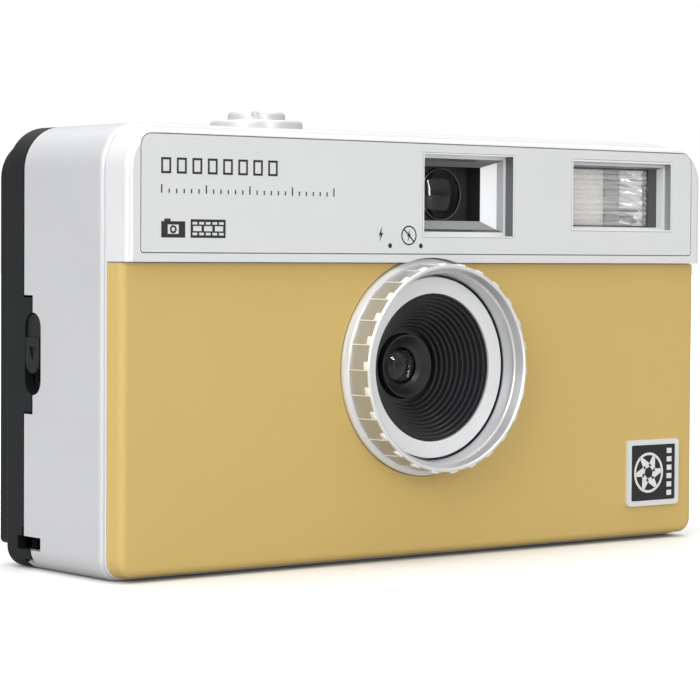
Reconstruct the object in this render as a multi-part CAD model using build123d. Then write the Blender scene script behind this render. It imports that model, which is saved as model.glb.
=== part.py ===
"""Half frame 35 mm film camera.

Frame: +Z up, the front faces -Y, +X to the right as the front is looked at. The origin is under the middle of the
camera at its base. Depths are counted from the face plate's front plane towards the back.
"""
import os
from math import cos, pi, sin

from build123d import *

# ---- driving dimensions, mm ----
WIDTH = 110.0
HEIGHT = 62.0
TOTAL_DEPTH = 39.0
RING_DEPTH = -4.0            # the flash ring's front rim, before the face plate
FACE_Y = -TOTAL_DEPTH / 2 - RING_DEPTH
CORNER_R = 6.2               # upper corners of the outline
BASE_R = 3.0                 # lower corners
WALL = 1.5
RUN = 0.06                   # radial clearance of a running fit

# front cover, face plate and panel
DRAFT_DEPTH = 4.4            # depth of the drafted side band
FRONT_INSET = 1.0            # how far the front outline stands inside the body's
LIP_INSET = 0.3
BAND_Z = 43.2                # lower edge of the silver band
PANEL_SET_BACK = 1.3
PANEL_T = 0.6
COVER_BACK = 2.8
PLATE_HALF = 51.9
PLATE_Z = (44.5, 60.3)
PLATE_T = 0.8
PLATE_GROOVE = 0.16

# body and door
SHELL_FRONT = 4.5
SHELL_BACK = 24.4
DOOR_FRONT = 24.6
DOOR_INNER = 28.1
DOOR_BACK = 29.3
BACK_PLATE_BACK = 32.3
THUMB_REST_BACK = TOTAL_DEPTH + RING_DEPTH
HINGE_X = 53.5
HINGE_D = 24.7
HINGE_R = 1.5
HINGE_PIN_R = 0.5

# lens
LENS_X = -1.1
LENS_Z = 28.0
RING_R = 15.8
RING_RIM_R = 14.8
RING_BORE = 13.45
GRIP_COUNT = 26
RING_GAP = 0.12              # radial clearance of the ring in the panel
CONE_MOUTH_R = 10.7
CONE_THROAT_R = 5.5
CONE_STEPS = 10
NOSE_R = 4.8

# windows
FINDER_X = (-3.0, 14.7)
FINDER_Z = (46.9, 59.1)
FLASH_X = (26.4, 47.7)
FLASH_Z = (48.1, 58.9)

# film path
CASSETTE = (39.2, 15.9)      # x and depth of the cassette's axis
CASSETTE_R = 12.65
SPOOL = (-37.0, 18.05)
SPOOL_CHAMBER_R = 10.0
SPROCKET = (-21.5, 19.6)
CHAMBER_Z = (2.7, 50.0)

# battery: one AAA cell standing beside the cassette chamber
CELL = (18.3, 17.1)
CELL_R = 5.25
CELL_Z = (2.4, 46.9)

# controls
BUTTON = (-22.6, 14.0)
BUTTON_R = 4.13
BUTTON_TOP = 64.6
WHEEL_R = 14.85
WHEEL_Z = (51.6, 56.0)
DIAL = (-9.5, 17.6)
REWIND_BUTTON = (-21.5, 11.6)
KNOB_R = 7.0
LATCH = (22.15, 30.25)       # depth and height of the latch slot's middle
LATCH_HALF = (2.05, 5.75)


# ---- shape helpers ----
def block(x, d, z):
    """Box from x0 to x1, depth d0 to d1 and height z0 to z1."""
    size = (x[1] - x[0], d[1] - d[0], z[1] - z[0])
    centre = ((x[0] + x[1]) / 2, FACE_Y + (d[0] + d[1]) / 2, (z[0] + z[1]) / 2)
    return Pos(*centre) * Box(*size)


def post(at, r, z):
    """Upright cylinder at (x, depth)."""
    return Pos(at[0], FACE_Y + at[1], (z[0] + z[1]) / 2) * Cylinder(r, z[1] - z[0])


def rod(x, z, r, d):
    """Cylinder along the depth."""
    return Pos(x, FACE_Y + (d[0] + d[1]) / 2, z) * Rot(90, 0, 0) * Cylinder(r, d[1] - d[0])


def front_sketch(d):
    """Plane across the camera at a depth, looking back into it: local X is +X, local Y is +Z."""
    return Plane(origin=(0, FACE_Y + d, 0), x_dir=(1, 0, 0), z_dir=(0, -1, 0))


def rounded_outline(x, z, top_r, base_r):
    """Rectangle with one radius on its upper corners and another on its lower ones."""
    outline = Rectangle(x[1] - x[0], z[1] - z[0])
    outline = fillet(outline.vertices().group_by(Axis.Y)[-1], top_r)
    outline = fillet(outline.vertices().group_by(Axis.Y)[0], base_r)
    return Pos((x[0] + x[1]) / 2, (z[0] + z[1]) / 2) * outline


def tablet(x, z, r, d, base_r=None):
    """Rounded rectangle from x0 to x1 and z0 to z1, through a depth range."""
    outline = rounded_outline(x, z, r, r if base_r is None else base_r)
    return extrude(front_sketch(d[1]) * outline, d[1] - d[0])


def body_tablet(inset, d):
    """The body's own outline, drawn in by an inset."""
    half = WIDTH / 2 - inset
    return tablet((-half, half), (inset, HEIGHT - inset), CORNER_R - inset, d, max(BASE_R - inset, 0.4))


def turned(points, x=LENS_X, z=LENS_Z):
    """Solid of revolution about the depth axis, from (radius, depth) points."""
    profile = make_face(Polyline(*[(r, d) for r, d in points], close=True))
    placed = Plane(origin=(x, FACE_Y, z), x_dir=(1, 0, 0), z_dir=(0, 0, 1)) * profile
    return revolve(placed, Axis((x, FACE_Y, z), (0, 1, 0)), 360)


def tube(r_out, r_in, d, x=LENS_X, z=LENS_Z):
    return rod(x, z, r_out, d) - rod(x, z, r_in, (d[0] - 1, d[1] + 1))


def funnel(x, z, d, x_in, z_in):
    """Tapered hole from an outer rectangle at depth d0 to an inner one at depth d1."""
    ends = []
    for span_x, span_z, depth in ((x, z, d[0]), (x_in, z_in, d[1])):
        middle = Pos((span_x[0] + span_x[1]) / 2, (span_z[0] + span_z[1]) / 2)
        face = Rectangle(span_x[1] - span_x[0], span_z[1] - span_z[0])
        ends.append(front_sketch(depth) * middle * face)
    return loft(ends)


def grown(span, by):
    return (span[0] - by, span[1] + by)


def cog(at, r, depth, count, z):
    """Upright wheel with a shallow toothed rim."""
    points = []
    for i in range(2 * count):
        radius = r if i % 2 else r - depth
        angle = pi * i / count
        points.append((radius * cos(angle), radius * sin(angle)))
    outline = make_face(Polyline(*points, close=True))
    return Pos(at[0], FACE_Y + at[1], z[0]) * extrude(outline, z[1] - z[0])


def fuse(*shapes):
    whole = shapes[0]
    for shape in shapes[1:]:
        whole = whole + shape
    return whole


def along(part, axis, lowest):
    """Edges of the lowest or highest face along an axis."""
    faces = part.faces().sort_by(axis)
    return (faces[0] if lowest else faces[-1]).edges()


# ---- casing ----
def drafted(first_depth, inset=0.0):
    """Front body form: its outline grows from the front plane back to the lip."""
    def outline(depth):
        share = depth / DRAFT_DEPTH
        edge = FRONT_INSET + (LIP_INSET - FRONT_INSET) * share + inset
        half = WIDTH / 2 - edge
        flat = rounded_outline((-half, half), (edge, HEIGHT - edge), CORNER_R - edge, BASE_R - edge)
        return front_sketch(depth) * flat
    return loft([outline(first_depth), outline(DRAFT_DEPTH)])


def front_cover():
    form = drafted(0.0)
    form = fillet(along(form, Axis.Y, True), 1.0)
    skirt = body_tablet(WALL + 0.15, (DRAFT_DEPTH - 0.2, 7.3))
    form = form + skirt
    form -= body_tablet(WALL + 1.3, (COVER_BACK, 9.0))
    # the lower front steps back for the panel, which also wraps round the sides
    below = (-5, BAND_Z)
    form -= block((-60, 60), (-1, PANEL_SET_BACK + PANEL_T), below)
    core = drafted(0.0, inset=PANEL_T)
    wrap = block((-60, 60), (-1, DRAFT_DEPTH - 0.25), below) - core
    form -= wrap
    # face plate pocket, windows and lens opening
    pocket_x = grown((-PLATE_HALF, PLATE_HALF), PLATE_GROOVE)
    form -= tablet(pocket_x, grown(PLATE_Z, PLATE_GROOVE), 1.9, (-1, PLATE_T), 0.5)
    form -= block(grown(FINDER_X, 0.05), (-1, 9), grown(FINDER_Z, 0.05))
    form -= block(grown(FLASH_X, 0.05), (-1, 9), grown(FLASH_Z, 0.05))
    form -= rod(LENS_X, LENS_Z, RING_R + RING_GAP, (-1, PANEL_SET_BACK + PANEL_T))
    form -= rod(LENS_X, LENS_Z, 14.85, (-1, 9))
    return form


def face_plate():
    plate = tablet((-PLATE_HALF, PLATE_HALF), PLATE_Z, 1.8, (0, PLATE_T), 0.4)
    plate -= block(grown(FINDER_X, 0.05), (-1, 2), grown(FINDER_Z, 0.05))
    plate -= block(grown(FLASH_X, 0.05), (-1, 2), grown(FLASH_Z, 0.05))
    return plate


def front_panel():
    outer = drafted(PANEL_SET_BACK, inset=0.1) & block((-60, 60), (-1, DRAFT_DEPTH - 0.3), (-1, BAND_Z - 0.15))
    outer = fillet(along(outer, Axis.Y, True).filter_by(lambda e: e.center().Z < BAND_Z - 0.5), 1.1)
    inner = drafted(PANEL_SET_BACK + PANEL_T, inset=PANEL_T - 0.05)
    outer -= inner & block((-60, 60), (PANEL_SET_BACK + PANEL_T, 9), (-5, 60))
    return outer - rod(LENS_X, LENS_Z, RING_R + RING_GAP, (-1, 9))


def badge_frame():
    frame = tablet((39.5, 50.7), (5.4, 15.7), 0.7, (PANEL_SET_BACK - 0.45, PANEL_SET_BACK))
    return frame - tablet((40.4, 49.9), (6.2, 14.9), 0.3, (0, PANEL_SET_BACK - 0.12))


def badge_field():
    return tablet((40.42, 49.88), (6.22, 14.88), 0.28, (PANEL_SET_BACK - 0.36, PANEL_SET_BACK - 0.12))


def hinge_channel(r):
    return post((HINGE_X, HINGE_D), r, (-1, 60.4))


def body_knuckle(z):
    knuckle = post((HINGE_X, HINGE_D), HINGE_R, z)
    web = block((HINGE_X - 0.7, HINGE_X + 0.7), (21.5, HINGE_D - 0.9), z)
    knuckle = (knuckle + web) & body_tablet(0, (20, 28))
    return knuckle - post((HINGE_X, HINGE_D), HINGE_PIN_R, (0, 62))


def latch_slot(x):
    """Upright slot with round ends through the side wall."""
    d, z = LATCH
    half_d, half_z = LATCH_HALF
    straight = half_z - half_d
    slot = block(x, (d - half_d, d + half_d), (z - straight, z + straight))
    for end in (z - straight, z + straight):
        slot += Pos((x[0] + x[1]) / 2, FACE_Y + d, end) * Rot(0, 90, 0) * Cylinder(half_d, x[1] - x[0])
    return slot


def body_shell():
    shell = body_tablet(0, (SHELL_FRONT, SHELL_BACK))
    shell = fillet(along(shell, Axis.Y, True), 1.1)
    shell -= body_tablet(WALL, (SHELL_FRONT - 1, SHELL_BACK + 1))
    # top: shutter collar, counter window and rewind cup
    top = (60, 63)
    shell -= post(BUTTON, 5.05, top)
    shell -= post((DIAL[0], DIAL[1] - 3.0), 2.6, top)
    cup = post(CASSETTE, KNOB_R + 1.3, (56.9, 60.6))
    shell += cup
    shell -= post(CASSETTE, KNOB_R + 0.5, (57.8, 63))
    shell -= post(CASSETTE, 2.6, (50, 63))
    # base: battery door and rewind release
    shell -= block((11.2, 26.0), (11.6, 22.7), (-1, 1.6))
    shell -= post(REWIND_BUTTON, 2.5, (-1, 2))
    # left side: latch and strap notch
    shell -= latch_slot((-56, -53))
    shell -= block((-56, -53), (22.2, 25), (21.8, 38.4))
    shell -= block((-56, -50), (20.1, 25), (2.8, 4.7))
    shell -= block((-56, -54.0), (22.6, 25), (1.1, 3.0))
    # right side: hinge
    shell -= hinge_channel(2.45)
    for z in ((3.4, 17), (45, 58.6)):
        shell += body_knuckle(z)
    return shell


def shutter_collar():
    collar = post(BUTTON, 6.65, (HEIGHT, 63.3))
    collar = fillet(along(collar, Axis.Z, False), 0.45)
    arrow = make_face(Polyline((-0.6, -0.55), (-0.6, 0.55), (0.6, 0), close=True))
    mark = Pos(BUTTON[0], FACE_Y + BUTTON[1], 62.95) * Rot(0, 0, -129) * Pos(5.4, 0, 0) * extrude(arrow, 1)
    collar -= mark
    collar += post(BUTTON, 5.0, (60.0, HEIGHT))
    return collar - post(BUTTON, BUTTON_R + RUN, (59, 65))


def strap_bar():
    return block((-53.9, -52.9), (22.7, 24.1), (2.6, 4.9))


def counter_window():
    at = (DIAL[0], DIAL[1] - 3.0)
    return post(at, 2.55, (60.6, 61.9)) + post(at, 3.3, (60.0, 60.4)) + post(at, 2.55, (60.4, 60.6))


# ---- lens ----
def flash_ring():
    ring = turned([
        (RING_BORE, -0.5), (13.75, -2.5), (13.95, -2.75), (14.4, -3.85), (14.55, RING_DEPTH),
        (RING_RIM_R, RING_DEPTH),
        (15.0, -3.7), (15.06, -0.1), (15.25, 0.1), (RING_R - 0.1, 0.85), (RING_R, 1.1), (RING_R, 1.6),
        (14.5, 1.6), (14.5, 3.8), (15.3, 3.9), (15.3, 4.4), (RING_BORE, 4.4),
    ])
    # grip: flats with a fine line between neighbours and a small nub at the front rim beside each line
    line = Pos(15.02, -1.2, 1.75) * Box(0.24, 3.8, 0.2)
    nub = Pos(15.02, -3.3, 1.1) * Box(0.3, 0.8, 1.3)
    lines = []
    nubs = []
    for i in range(GRIP_COUNT):
        placed = Pos(LENS_X, FACE_Y, LENS_Z) * Rot(0, 360.0 * i / GRIP_COUNT, 0)
        lines.append(placed * line)
        nubs.append(placed * nub)
    return ring - lines + nubs


def lens_bezel():
    return turned([
        (CONE_MOUTH_R + 0.06, -0.3), (13.1, -0.3), (13.1, 1.2), (RING_BORE - RUN, 1.2), (RING_BORE - RUN, 6.4),
        (12.2, 6.4), (12.2, 0.6),
        (CONE_MOUTH_R + 0.06, 0.6),
    ])


def lens_cone():
    step_r = (CONE_MOUTH_R - 0.25 - CONE_THROAT_R) / CONE_STEPS
    step_d = 6.0 / CONE_STEPS
    points = [(CONE_MOUTH_R, 0.0), (CONE_MOUTH_R - 0.25, -0.15)]
    for i in range(CONE_STEPS):
        r = CONE_MOUTH_R - 0.25 - i * step_r
        d = -0.15 + i * step_d
        points += [(r - 0.12, d + 0.42), (r - step_r * 0.55, d + 0.55), (r - step_r, d + step_d - 0.1)]
    points += [(CONE_THROAT_R, 6.6), (NOSE_R + 0.03, 6.6), (NOSE_R + 0.03, 7.4), (12.1, 7.4), (12.1, 6.6)]
    points += [(CONE_THROAT_R + 1.3, 6.6), (CONE_MOUTH_R, 1.6)]
    return turned(points)


def lens_nose():
    return turned([
        (2.7, 6.85), (3.3, 6.5), (4.35, 5.65), (4.6, 5.6), (NOSE_R - 0.1, 5.85), (NOSE_R - 0.1, 8.9), (2.0, 8.9),
        (2.0, 8.45), (2.95, 8.45), (2.95, 7.4), (2.7, 7.1),
    ])


def lens_element(r, front, back, crown_front, crown_back):
    """Biconvex element: rim radius, front and back vertex depths and the sag of each face."""
    steps = 5
    points = []
    for i in range(steps + 1):
        t = r * i / steps
        points.append((t, front + crown_front * (t / r) ** 2))
    for i in range(steps, -1, -1):
        t = r * i / steps
        points.append((t, back - crown_back * (t / r) ** 2))
    return turned(points)


def front_lens():
    return lens_element(2.9, 6.5, 8.42, 1.0, 0.2)


def aperture_plate():
    plate = rod(LENS_X, LENS_Z, 7.0, (9.0, 9.4))
    return plate - rod(LENS_X, LENS_Z, 1.15, (8, 10))


PIVOT = (LENS_X - 7.5, LENS_Z + 5.5)


def shutter_blade():
    blade = rod(LENS_X, LENS_Z, 2.7, (9.9, 10.15))
    arm = Pos((PIVOT[0] + LENS_X) / 2, FACE_Y + 10.025, (PIVOT[1] + LENS_Z) / 2) * Rot(0, 36.3, 0)
    blade += arm * Box(8.4, 0.25, 2.2)
    blade += rod(PIVOT[0], PIVOT[1], 1.7, (9.9, 10.15))
    blade += block((PIVOT[0] - 1.0, PIVOT[0] + 0.2), (9.9, 10.15), (PIVOT[1], PIVOT[1] + 5.2))
    return blade - rod(PIVOT[0], PIVOT[1], 0.8 + RUN, (9, 11))


def shutter_base():
    base = block((-11.4, 9.2), (10.6, 11.3), (17.5, 41.0))
    base -= rod(LENS_X, LENS_Z, 3.0, (10, 12))
    base += rod(PIVOT[0], PIVOT[1], 0.8, (9.5, 10.6))
    return base + rod(PIVOT[0], PIVOT[1], 1.3, (10.35, 10.6))


def blade_spring():
    coil = tube(1.5, 0.95, (8.9, 9.45), PIVOT[0], PIVOT[1])
    return coil + block((PIVOT[0] - 5.0, PIVOT[0] - 1.2), (9.0, 9.3), (PIVOT[1] - 0.2, PIVOT[1] + 0.1))


def rear_lens():
    return lens_element(2.7, 11.6, 12.9, 0.3, 0.35)


# ---- viewfinder and flash ----
def finder_bezel():
    bezel = block(FINDER_X, (0, 3.3), FINDER_Z)
    bezel -= block(grown(FINDER_X, -0.25), (-1, 1.7), grown(FINDER_Z, -0.2))
    bezel -= funnel((-2.3, 14.0), (47.7, 58.4), (1.699, 2.5), (-1.7, 13.4), (48.1, 58.05))
    bezel -= funnel((-1.7, 13.4), (48.1, 58.05), (2.499, 3.31), (-0.2, 10.8), (49.35, 57.25))
    return bezel


def finder_tube():
    tube_form = block((-0.9, 12.2), (3.4, 27.8), (48.4, 58.2))
    tube_form -= block((-0.1, 11.4), (3, 6.6), (49.3, 57.4))
    tube_form -= rod(5.7, 53.3, 3.95, (6, 7.8)) + block((2.2, 9.4), (7.7, 28), (50.3, 56.5))
    return tube_form


def finder_front_lens():
    rim = rod(5.7, 53.3, 3.9, (6.4, 7.6))
    return rim + (Pos(5.7, FACE_Y + 12.6, 53.3) * Sphere(7.4) & rod(5.7, 53.3, 3.9, (4.5, 6.5)))


def finder_rear_lens():
    return rod(5.8, 53.4, 3.05, (25.6, 27.0))


def flash_bezel():
    bezel = block(FLASH_X, (0, 2.1), FLASH_Z)
    bezel -= block(grown(FLASH_X, -0.25), (-1, 1.3), (48.35, 58.6))
    return bezel - funnel((27.15, 46.95), (48.65, 58.1), (1.299, 2.11), (27.5, 46.4), (48.8, 57.8))


def flash_housing():
    housing = block((26.9, 47.2), (2.15, 7.3), (48.3, 58.7))
    housing -= block((28.1, 44.7), (1, 3.6), (48.8, 57.8))
    housing -= block((28.9, 44.7), (3.5, 6.7), (51.5, 57.8))
    chamber = post(CASSETTE, CASSETTE_R + 1.5, (40, 51.1)) + block((25, 60), (2.95, 30), (40, 51.1))
    return housing - (chamber & block((20, 60), (2.95, 30), (40, 51.1)))


def flash_window():
    return block((28.2, 44.6), (2.5, 2.9), (48.9, 57.7))


def flash_reflector():
    bowl = block((29.3, 44.1), (3.65, 6.6), (51.6, 57.7))
    bowl -= funnel((29.6, 43.8), (51.9, 57.4), (3.64, 6.2), (34.0, 39.4), (53.2, 56.0))
    return bowl - rod_across((28, 46), 5.0, 54.6, 1.0)


def rod_across(x, d, z, r):
    """Cylinder along X."""
    return Pos((x[0] + x[1]) / 2, FACE_Y + d, z) * Rot(0, 90, 0) * Cylinder(r, x[1] - x[0])


def flash_tube():
    return rod_across((29.5, 43.9), 5.0, 54.6, 0.85)


def flash_board():
    board = block((15.0, 29.4), (3.1, 3.9), (6.0, 46.0))
    board -= rod(27.0, 10.0, 1.1, (2, 5)) + rod(27.0, 42.0, 1.1, (2, 5))
    transformer = block((23.4, 28.0), (3.9, 6.6), (20.0, 27.0)) - block((24.6, 26.8), (4.4, 8), (22.0, 25.0))
    return board + transformer


def flash_capacitor():
    can = post((19.6, 7.6), 3.1, (14.0, 38.0))
    return fillet(along(can, Axis.Z, False), 0.5)


def ready_lamp():
    return rod(16.6, 53.4, 1.5, (24.7, 27.8)) + rod(16.6, 53.4, 1.9, (24.7, 25.3))


# ---- chassis ----
def chassis():
    inner = body_tablet(WALL + 0.4, (8.3, 24.6)) + body_tablet(WALL + 1.6, (3.0, 8.3))
    deck = body_tablet(WALL + 0.4, (23.4, 24.6))
    cassette = post(CASSETTE, CASSETTE_R + 0.9, (1.9, 50.6)) + block((25.65, 52.75), (15.9, 24), (1.9, 50.6))
    spool = post(SPOOL, SPOOL_CHAMBER_R + 0.8, (1.9, 50.6)) + block((-48, -26), (17.3, 24), (1.9, 50.6))
    sprocket = post(SPROCKET, 7.7, (4.6, 50.6)) + block((-29.2, -13.8), (19.6, 24), (4.6, 50.6))
    bay = post(CELL, CELL_R + 0.95, (1.9, 48.6)) + block((12.4, 24.2), (17.1, 23.5), (1.9, 48.6))
    light_box = funnel((-8.6, 6.4), (19.6, 36.4), (12.5, 24.0), (-11.4, 9.2), (14.6, 41.4))
    bracket = block((-20, -11.8), (8.6, 15), (36.9, 37.7))
    form = fuse(deck, cassette, spool, sprocket, bay, light_box, bracket)
    form += block((-42, -32), (12, 24.6), (56.8, 57.6))
    form += block((-15.0, -4.0), (12.9, 24.6), (57.0, 57.7)) + post(DIAL, 0.9, (57.7, 59.8))
    form = form & inner
    form -= post(CASSETTE, CASSETTE_R, CHAMBER_Z) + block((26.55, 51.85), (15.9, 30), CHAMBER_Z)
    form -= post(CASSETTE, 2.6, (49, 60))
    form -= post(SPOOL, SPOOL_CHAMBER_R, CHAMBER_Z) + block((-47.2, -26.8), (17.3, 30), CHAMBER_Z)
    form -= post(SPOOL, 2.2 + RUN, (49, 52)) + post(SPOOL, 1.5 + RUN, (1, 3)) + post(SPOOL, 1.5 + RUN, (56, 58))
    form -= post(SPROCKET, 6.9, (5.4, 50.0)) + block((-28.4, -14.6), (19.6, 30), (5.4, 50.0))
    form -= post(SPROCKET, 1.2 + RUN, (4, 52))
    form -= post(CELL, CELL_R + 0.25, (1, 47.9))
    form -= funnel((-7.4, 5.2), (20.8, 35.2), (13.2, 24.61), (-10.3, 8.1), (15.8, 40.2))
    form -= rod(LENS_X, LENS_Z, 3.0, (12, 14))
    form -= block((26, 48), (2, 3.7), (48, 60))
    form -= block((-54, -20.7), (23, 25), (51.0, 56.6))
    form -= block((-1.3, 12.6), (23, 25), (47.8, 58.8))
    form -= block((-54, -51.0), (17, 25), (19.6, 40.0))
    form -= block((-54, -50.0), (19, 25), (1, 6.2))
    form -= hinge_channel(2.9)
    form -= post(CASSETTE, KNOB_R + 1.7, (56.5, 61))
    for z in (8.4, 46.6):
        form += block((-13.5, 24.6), (24.5, 25.5), (z, z + 1.2))
    for z in (13.6, 41.4):
        form += block((-11.9, 9.7), (24.5, 25.1), (z, z + 0.9))
    return form


def chassis_screws():
    heads = []
    for x, z in ((-50.2, 10.5), (-50.2, 45.5), (11.2, 5.2), (22.6, 54.6), (47.0, 55.0)):
        head = rod(x, z, 1.6, (24.6, 25.2)) - block((x - 1.2, x + 1.2), (24, 24.9), (z - 0.2, z + 0.2))
        head -= block((x - 0.2, x + 0.2), (24.95, 26), (z - 1.0, z + 1.0))
        head -= block((x - 1.0, x + 1.0), (24.95, 26), (z - 0.2, z + 0.2))
        heads.append(head)
    return Compound(children=heads)


def light_seals():
    upper = block((-19.5, 50.0), (24.6, 25.8), (59.0, 60.1)) - block((-1.9, 13.4), (24, 27), (58, 61))
    lower = block((-24, 26), (24.6, 25.6), (1.95, 2.6))
    side = block((-52.9, -52.0), (24.6, 25.7), (41.0, 50.0))
    return Compound(children=[*upper.solids(), lower, side])


def takeup_spool():
    core = post(SPOOL, 4.6, (4.2, 49.2)) + post(SPOOL, 7.6, (3.1, 4.2))
    core += post(SPOOL, 2.2, (49.2, WHEEL_Z[0])) + post(SPOOL, 1.5, (2.0, 3.1))
    core -= block((SPOOL[0] - 0.5, SPOOL[0] + 0.5), (10, 25), (22.0, 34.0)) & post(SPOOL, 5, (20, 36))
    return core


def advance_wheel():
    wheel = cog(SPOOL, WHEEL_R, 0.5, 64, WHEEL_Z)
    wheel -= post(SPOOL, 11.5, (WHEEL_Z[1] - 0.8, 60))
    return wheel + post(SPOOL, 3.0, (WHEEL_Z[1] - 0.8, WHEEL_Z[1] + 0.3)) + post(SPOOL, 1.5, (56.0, 58.2))


def film_sprocket():
    roller = post(SPROCKET, 4.2, (5.8, 49.6))
    for z in (12.5, 39.5):
        roller += cog(SPROCKET, 6.5, 0.6, 8, (z, z + 1.6))
        roller += post(SPROCKET, 5.6, (z - 2.4, z + 4.0))
    return roller + post(SPROCKET, 1.2, (4.8, 50.5))


def counter_dial():
    dial = post(DIAL, 5.4, (58.4, 59.3))
    return dial - post(DIAL, 0.9 + RUN, (58, 60))


# ---- release ----
def shutter_button():
    button = post(BUTTON, BUTTON_R, (59.2, BUTTON_TOP))
    button = fillet(along(button, Axis.Z, False), 0.55)
    for turn in (-129, -9, 111):
        notch = Rot(0, 0, turn) * Pos(BUTTON_R, 0, 0) * Box(1.2, 1.1, 1.0)
        button -= Pos(BUTTON[0], FACE_Y + BUTTON[1], 64.35) * notch
    return button + post(BUTTON, 4.8, (58.4, 59.2))


LEG = (-13.5, 10.3)


def release_slider():
    slider = block((BUTTON[0] - 2.5, LEG[0] + 0.6), (LEG[1] - 0.6, LEG[1] + 0.6), (57.7, 58.4))
    slider += block((BUTTON[0] - 2.5, BUTTON[0] + 1.5), (LEG[1] - 0.6, 15.0), (57.7, 58.4))
    slider += block((LEG[0] - 0.6, LEG[0] + 0.6), (LEG[1] - 0.6, LEG[1] + 0.6), (44.0, 57.7))
    return slider


def release_spring():
    coil = post(LEG, 1.6, (37.8, 44.0)) - post(LEG, 1.1, (37, 45))
    return coil


# ---- rewind ----
def rewind_knob():
    knob = cog(CASSETTE, KNOB_R, 0.35, 36, (58.1, 61.7))
    middle = CASSETTE[1]
    knob -= block((CRANK_PIVOT[0] - 1.4, CASSETTE[0] + 9), (middle - 2.0, middle + 2.0), (60.3, 63))
    knob -= block((GRIP_X - 2.3, CASSETTE[0] + 9), (middle - 2.3, middle + 2.3), (58.9, 63))
    return knob - rod(CRANK_PIVOT[0], CRANK_PIVOT[1], 0.5, (middle - 2.9, middle + 2.9))


CRANK_PIVOT = (CASSETTE[0] - 4.4, 61.1)
GRIP_X = CASSETTE[0] + 4.4


def crank_arm():
    x, z = CRANK_PIVOT
    middle = CASSETTE[1]
    arm = block((x, GRIP_X), (middle - 1.7, middle + 1.7), (60.75, 61.6))
    arm += post((GRIP_X, middle), 1.7, (60.75, 61.6))
    arm += rod(x, z, 0.5, (middle - 1.7, middle + 1.7))
    arm += rod(x, z, 0.44, (middle - 2.7, middle + 2.7))
    return arm - post((GRIP_X, middle), 0.6 + RUN, (60, 62))


def crank_grip():
    at = (GRIP_X, CASSETTE[1])
    return post(at, 1.9, (59.2, 60.7)) + post(at, 0.6, (60.7, 61.6))


def rewind_shaft():
    shaft = post(CASSETTE, 2.2, (51.8, 58.1)) + post(CASSETTE, 2.5, (46.0, 51.4))
    shaft += post(CASSETTE, 1.9, (51.4, 51.8))
    return shaft - block((CASSETTE[0] - 1.1, CASSETTE[0] + 1.1), (10, 22), (45, 48.6))


def retaining_clip():
    clip = post(CASSETTE, 3.6, (51.42, 51.78)) - post(CASSETTE, 1.9 + RUN, (51, 52))
    return clip - block((CASSETTE[0] - 0.8, CASSETTE[0] + 0.8), (CASSETTE[1] + 1, CASSETTE[1] + 5), (51, 52))


def rewind_button():
    return post(REWIND_BUTTON, 2.2, (0.25, 2.0)) + post(REWIND_BUTTON, 3.1, (1.8, 2.7))


# ---- battery ----
def battery():
    cell = post(CELL, CELL_R, (CELL_Z[0], CELL_Z[1] - 1.0))
    return cell + post(CELL, 1.9, (CELL_Z[1] - 1.0, CELL_Z[1]))


def contact_springs():
    """The flash switch's two leaves and the cell's upper contact."""
    lower = block((5.6, 9.0), (9.3, 9.5), (33.0, 34.4))
    upper = block((5.6, 8.4), (10.1, 10.3), (33.0, 34.4))
    cell_top = block((CELL[0] - 3, CELL[0] + 3), (CELL[1] - 3, CELL[1] + 3), (47.2, 47.5))
    return Compound(children=[lower, upper, cell_top + post(CELL, 1.2, (46.92, 47.2))])


def battery_door():
    door = block((11.5, 25.0), (11.9, 22.4), (0.06, 1.44)) + rod(25.0, 0.75, 0.69, (11.9, 22.4))
    for i in range(4):
        x = 13.5 + 1.2 * i
        door -= block((x, x + 0.5), (14.5, 19.8), (-1, 0.4))
    return door


def door_contact():
    return post(CELL, 3.6, (1.44, 1.75))


# ---- back door ----
def wheel_slot(d):
    return block((SPOOL[0] - 14.6, SPOOL[0] + 15.2), d, (WHEEL_Z[0] - 0.6, WHEEL_Z[1] + 0.6))


def back_door():
    door = body_tablet(0, (DOOR_FRONT, DOOR_BACK))
    door = fillet(along(door, Axis.Y, False), 0.6)
    door -= body_tablet(WALL, (20, DOOR_INNER))
    door -= block((25.8, 52.0), (20, 28.8), (2.4, 50.4))
    door += block((-55, -53.5), (22.45, 25), (22.1, 38.1))
    door -= latch_slot((-56, -53))
    door -= wheel_slot((20, 31)) & block((-52.2, -20), (20, 31), (50, 58))
    door -= block((0.4, 11.2), (20, 31), (49.0, 57.8))
    door -= rod(16.6, 53.4, 1.9, (20, 31))
    door -= block((-56, -50), (20, 26.1), (2.8, 4.7))
    door -= block((-56, -51.8), (20, 24.9), (1.0, 6.0))
    door += block((-55, -54.3), (22.9, 25.4), (1.4, 2.8)) & body_tablet(0, (20, 28))
    door -= hinge_channel(1.8)
    knuckle = post((HINGE_X, HINGE_D), HINGE_R, (17.3, 44.7))
    web = block((HINGE_X - 0.9, HINGE_X + 0.7), (HINGE_D + 0.8, 28.5), (17.3, 44.7))
    door += knuckle + web
    return door - post((HINGE_X, HINGE_D), HINGE_PIN_R + RUN, (16, 46))


def hinge_pin():
    return post((HINGE_X, HINGE_D), HINGE_PIN_R, (4.0, 58.0))


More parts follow.
